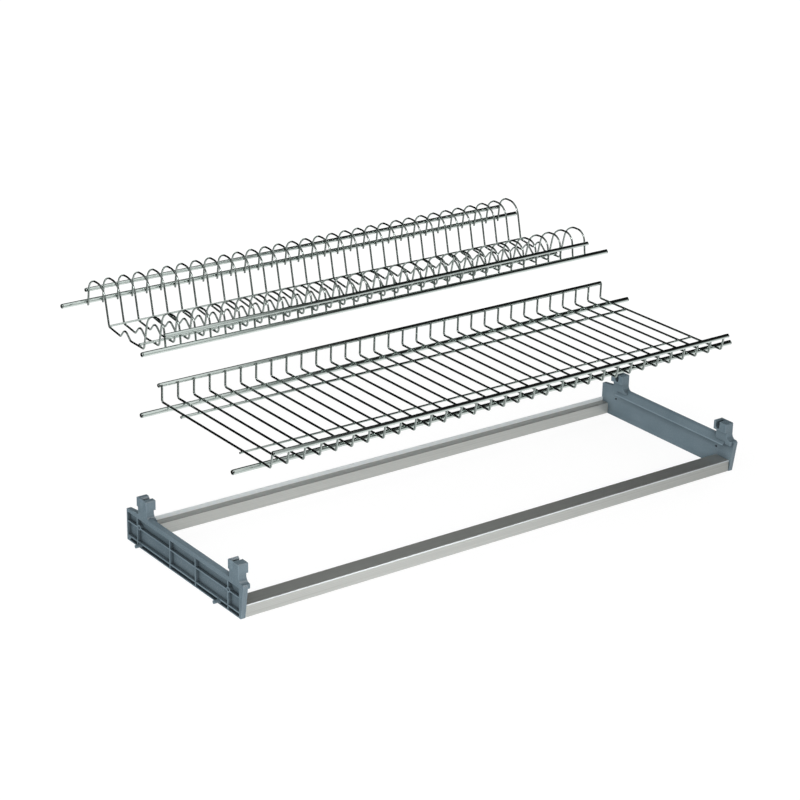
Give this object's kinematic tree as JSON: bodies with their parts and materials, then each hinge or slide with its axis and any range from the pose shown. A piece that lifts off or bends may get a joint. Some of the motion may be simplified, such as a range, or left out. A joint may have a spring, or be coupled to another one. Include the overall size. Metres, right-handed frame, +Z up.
{
  "type": "cabinet dish rack",
  "caption": "Dish rack set for a wall cabinet: a frame of two plastic brackets and two aluminium profiles, a flat chromed wire rack for cups and a hooped wire rack for plates.",
  "frame": {"origin": "middle of the frame's underside: x midway between the cabinet's side panels, y midway between the brackets' front and rear rod seats, z at the brackets' underside", "axes": "+X along the rods to the right, +Y to the back of the cabinet, +Z up"},
  "size_m": [0.963, 0.6565, 0.2562],
  "materials": {
    "chromed_steel": "polished",
    "satin_aluminium": "satin",
    "grey_plastic": "satin"
  },
  "bodies": {
    "frame": {"left_bracket": "grey_plastic", "right_bracket": "grey_plastic", "front_profile": "satin_aluminium", "rear_profile": "satin_aluminium"},
    "cup_rack": {"cup_rear_rail": "chromed_steel", "cup_rear_support": "chromed_steel", "cup_rear_floor_rod": "chromed_steel", "cup_front_floor_rod": "chromed_steel", "cup_front_support": "chromed_steel", "cup_front_rail": "chromed_steel", "cup_wires_1": "chromed_steel", "cup_wires_2": "chromed_steel", "cup_wires_3": "chromed_steel", "cup_wires_4": "chromed_steel", "cup_wires_5": "chromed_steel", "cup_wires_6": "chromed_steel", "cup_wires_7": "chromed_steel", "cup_wires_8": "chromed_steel"},
    "plate_rack": {"plate_rear_rail": "chromed_steel", "plate_rear_support": "chromed_steel", "plate_corner_rod": "chromed_steel", "plate_floor_rod": "chromed_steel", "plate_front_rail": "chromed_steel", "plate_front_support": "chromed_steel", "plate_hoops_1": "chromed_steel", "plate_hoops_2": "chromed_steel", "plate_hoops_3": "chromed_steel", "plate_hoops_4": "chromed_steel", "plate_hoops_5": "chromed_steel", "plate_hoops_6": "chromed_steel", "plate_hoops_7": "chromed_steel", "plate_hoops_8": "chromed_steel"}
  },
  "joints": [
    {"name": "cup_rack_lower", "type": "slide", "parent": "frame", "child": "cup_rack", "axis": [0, 0, -1], "range_m": [0, 0.1305]},
    {"name": "plate_rack_lift", "type": "slide", "parent": "frame", "child": "plate_rack", "axis": [0, 0, 1], "range_m": [0, 0.12]}
  ]
}
